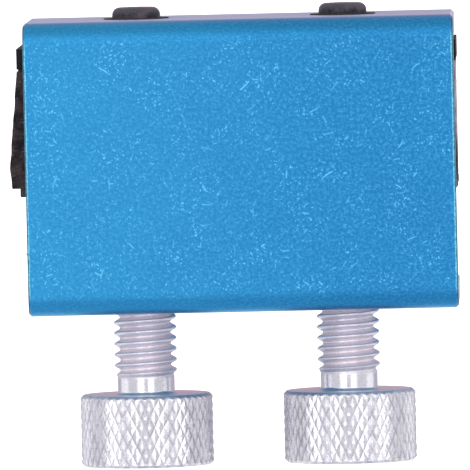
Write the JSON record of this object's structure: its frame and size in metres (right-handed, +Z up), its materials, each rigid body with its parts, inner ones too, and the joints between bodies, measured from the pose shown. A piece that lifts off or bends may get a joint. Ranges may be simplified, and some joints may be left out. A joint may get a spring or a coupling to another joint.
{
  "type": "pcb holder vise",
  "caption": "Small edge-clamping board vise: anodised C-channel body, soft fixed jaw under the upper flange, and a pressure bar raised by knurled thumb screws.",
  "frame": {"origin": "underside of the lower flange, at the middle of the channel's length, midway between the two thumb screws", "axes": "+X along the channel to the right as seen from the web's outer face, +Y out of the channel's mouth, +Z up from the thumb screws to the fixed jaw"},
  "size_m": [0.0419, 0.02, 0.0429],
  "materials": {
    "blue_anodised": "satin blue anodised, scuffed",
    "black_anodised": "matt black anodised",
    "tape": "translucent transfer tape",
    "sponge_rubber": "matt, knife-cut",
    "facing_rubber": "matt, slightly ribbed",
    "bar_aluminium": "mill finish, sawn ends",
    "black_oxide_steel": "black oxide",
    "black_fibre": "matt vulcanised fibre",
    "knurled_steel": "bright turned and knurled",
    "spring_steel": "phosphated spring steel",
    "washer_steel": "bright stamped"
  },
  "bodies": {
    "channel": {"channel_body": "blue_anodised", "jaw_backing_plate": "black_anodised", "jaw_block_tape": "tape", "upper_jaw_block": "sponge_rubber", "upper_jaw_facing": "facing_rubber", "left_jaw_screw": "black_oxide_steel", "right_jaw_screw": "black_oxide_steel", "left_jaw_screw_washer": "black_fibre", "right_jaw_screw_washer": "black_fibre"},
    "moving_jaw": {"pressure_bar": "bar_aluminium", "pressure_bar_tape": "tape", "pressure_bar_facing": "facing_rubber", "left_thrust_washer": "washer_steel", "right_thrust_washer": "washer_steel", "left_ring_shim": "washer_steel", "right_ring_shim": "washer_steel"},
    "left_screw": {"left_thumb_screw": "knurled_steel", "left_retaining_ring": "spring_steel"},
    "right_screw": {"right_thumb_screw": "knurled_steel", "right_retaining_ring": "spring_steel"}
  },
  "joints": [
    {"name": "jaw_slide", "type": "slide", "parent": "channel", "child": "moving_jaw", "axis": [0, 0, 1], "range_m": [-0.00025, 0.00425]},
    {"name": "left_screw_turn", "type": "hinge", "parent": "moving_jaw", "child": "left_screw", "pos_m": [-0.0095, 0, 0], "axis": [0, 0, 1], "range_deg": [-90, 1530]},
    {"name": "right_screw_turn", "type": "hinge", "parent": "moving_jaw", "child": "right_screw", "pos_m": [0.0095, 0, 0], "axis": [0, 0, 1], "range_deg": [-90, 1530]}
  ],
  "couplings": [
    {"joint": "left_screw_turn", "follows": "jaw_slide", "rad_per_m": 6283.2},
    {"joint": "right_screw_turn", "follows": "jaw_slide", "rad_per_m": 6283.2}
  ]
}
